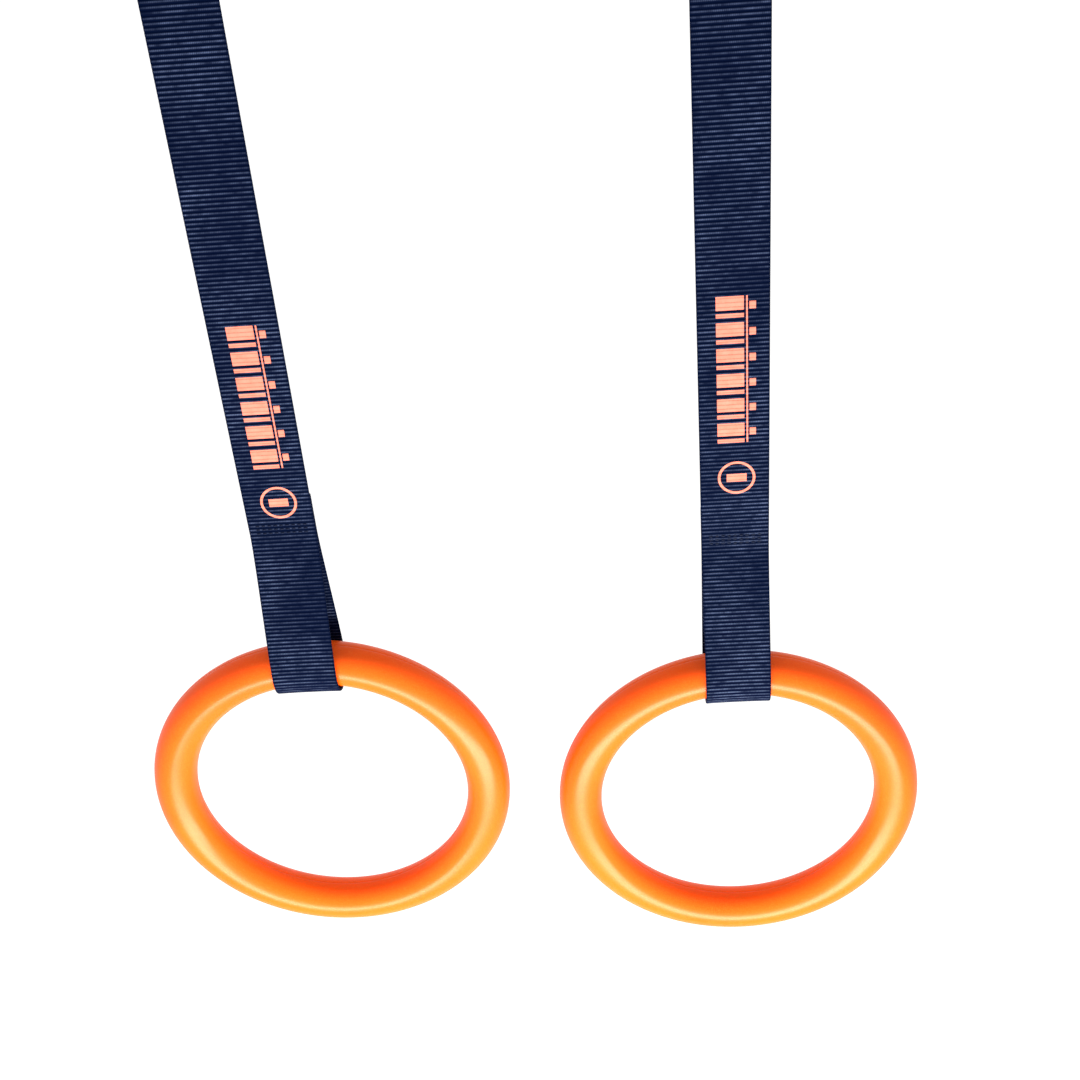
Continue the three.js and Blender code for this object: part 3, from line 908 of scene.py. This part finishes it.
def wire(name, path, radius, look):
    """A round wire along a path of points, closed at both ends."""
    points = []
    side = None
    for i, p in enumerate(path):
        way = (path[min(i + 1, len(path) - 1)] - path[max(i - 1, 0)]).normalized()
        side = (side - way * side.dot(way)).normalized() if side else way.orthogonal().normalized()
        other = way.cross(side)
        for j in range(WIRE_SIDES):
            turn = 2 * math.pi * j / WIRE_SIDES
            points.append(p + (side * math.cos(turn) + other * math.sin(turn)) * radius)
    piece = new_piece(name, points, tube_faces(len(path), WIRE_SIDES), look)
    make_outward(piece)
    return piece


def make_buckle(side):
    hanger = f"hanger_{side}"
    rounded_steel(f"buckle_frame_{side}", f"buckle_plate_{side}", hanger, bevel=0.35 * MM)
    rounded_steel(f"cam_lever_{side}", f"buckle_cam_{side}", f"cam_{side}", bevel=0.25 * MM)
    rounded_steel(f"cam_pin_{side}", f"buckle_pin_{side}", hanger, bevel=0.5 * MM)
    rounded_steel(f"tab_bar_{side}", f"buckle_bar_{side}", hanger, bevel=0.5 * MM)
    node = f"cam_spring_{side}"
    low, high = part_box(node)
    middle = (low + high) / 2
    radius, half = (high.z - low.z) / 2 - SPRING_WIRE, (high.x - low.x) / 2 - SPRING_WIRE
    path = []
    for step in range(SPRING_STEPS * SPRING_TURNS + 1):
        turn = step / SPRING_STEPS
        angle = 2 * math.pi * turn
        along = (turn / SPRING_TURNS * 2 - 1) * half
        path.append(middle + Vector((along, radius * math.cos(angle), radius * math.sin(angle))))
    leg = Vector((0, 0, SPRING_LEG))
    spring = wire(f"spring_coil_{side}", [path[0] - leg, *path, path[-1] + leg], SPRING_WIRE, "spring")
    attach(spring, hanger)
    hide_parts(node)


# ---------------------------------------------------------------- the rings

RING_WALL = 5 * MM
PARTING_GAP = 0.03 * MM  # from the parting plane to each half
PARTING_LIP = 0.12 * MM  # rounded edge of each half
RING_STEPS = 240
OUTER_POINTS, INNER_POINTS = 33, 13


def shell_profile():
    """Section of a half moulding: distance out from the tube's axis, and depth from the parting plane."""
    profile = []
    for a in np.radians(np.linspace(0, 180, OUTER_POINTS)):
        profile.append((TUBE_RADIUS * math.cos(a), TUBE_RADIUS * math.sin(a)))
    profile[0] = (TUBE_RADIUS - PARTING_LIP, PARTING_GAP)
    profile[-1] = (-TUBE_RADIUS + PARTING_LIP, PARTING_GAP)
    profile.insert(1, (TUBE_RADIUS, PARTING_GAP + PARTING_LIP))
    profile.insert(-1, (-TUBE_RADIUS, PARTING_GAP + PARTING_LIP))
    inner = TUBE_RADIUS - RING_WALL
    for a in np.radians(np.linspace(180, 0, INNER_POINTS)):
        profile.append((inner * math.cos(a), max(inner * math.sin(a), PARTING_GAP)))
    return profile


def ring_shell(node, side, half):
    """Half of the hollow ring. half is -1 for the front shell and +1 for the rear one."""
    low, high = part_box(node)
    centre = Vector(((low.x + high.x) / 2, 0, (low.z + high.z) / 2))
    profile = shell_profile()
    points, faces, n = [], [], len(profile)
    for i in range(RING_STEPS):
        turn = 2 * math.pi * i / RING_STEPS
        for out, deep in profile:
            r = RING_RADIUS + out
            points.append((centre.x + r * math.cos(turn), half * deep, centre.z + r * math.sin(turn)))
    for i in range(RING_STEPS):
        for j in range(n):
            a, b = i * n, (i + 1) % RING_STEPS * n
            k = (j + 1) % n
            faces.append((a + j, a + k, b + k, b + j))
    piece = new_piece(node.replace("shell", "moulding"), points, faces, "ring")
    make_outward(piece)
    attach(piece, f"ring_{side}")
    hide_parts(node)


# ---------------------------------------------------------------- stage

SKY_FADE = (0.2, 0.9, 0.97, 0.6)  # from this height to that, the sky goes from this strength to that
FLOOR_HALF = 30.0
FLOOR_BELOW = 0.9  # from the rings down to the floor
LAMP_AT = Vector((0.05, -0.70, -0.29))  # from the middle of the object's lower edge
LAMP_AIM = Vector((0, 0, 0.15))
LAMP_SIZE = 1.2, 0.3
LAMP_POWER = 30
LAMP_COLOUR = (1.0, 0.92, 0.68)


def make_lamp(lowest):
    """A wide warm lamp, low in front of the rings. lowest is the object's lowest height."""
    data = bpy.data.lights.new("low_front", "AREA")
    data.shape = "ELLIPSE"
    data.size, data.size_y = LAMP_SIZE
    data.energy = LAMP_POWER
    data.color = LAMP_COLOUR
    light = in_scene("low_front", data)
    light.location = LAMP_AT + Vector((0, 0, lowest))
    light.rotation_mode = "QUATERNION"
    light.rotation_quaternion = (LAMP_AIM - LAMP_AT).to_track_quat("-Z", "Y")


def make_sky():
    """White light from all round, weaker straight overhead."""
    world = bpy.data.worlds.new("studio")
    world.use_nodes = True
    tree = world.node_tree
    direction = tree.nodes.new("ShaderNodeTexCoord").outputs["Generated"]
    parts = tree.nodes.new("ShaderNodeSeparateXYZ")
    fade = tree.nodes.new("ShaderNodeMapRange")
    fade.interpolation_type = "SMOOTHSTEP"
    for i, value in enumerate(SKY_FADE):
        fade.inputs[i + 1].default_value = value
    tree.links.new(direction, parts.inputs[0])
    tree.links.new(parts.outputs["Z"], fade.inputs[0])
    tree.links.new(fade.outputs[0], tree.nodes["Background"].inputs["Strength"])
    tree.nodes["Background"].inputs["Color"].default_value = (1, 1, 1, 1)
    bpy.context.scene.world = world


def make_stage():
    lowest = cad_box[0].z
    size, z = FLOOR_HALF, lowest - FLOOR_BELOW
    corners = [(-size, -size, z), (size, -size, z), (size, size, z), (-size, size, z)]
    mesh = bpy.data.meshes.new("floor")
    mesh.from_pydata(corners, [], [(0, 1, 2, 3)])
    mesh.materials.append(floor_look())
    in_scene("floor", mesh)
    make_sky()
    make_lamp(lowest)


# ---------------------------------------------------------------- build

make_camera()
bpy.context.scene.view_settings.view_transform = "Standard"
for side in SIDES:
    make_strap(side)
    make_sewn_parts(side)
    make_print(side)
    make_buckle(side)
    ring_shell(f"ring_front_shell_{side}", side, -1)
    ring_shell(f"ring_rear_shell_{side}", side, 1)
make_stage()
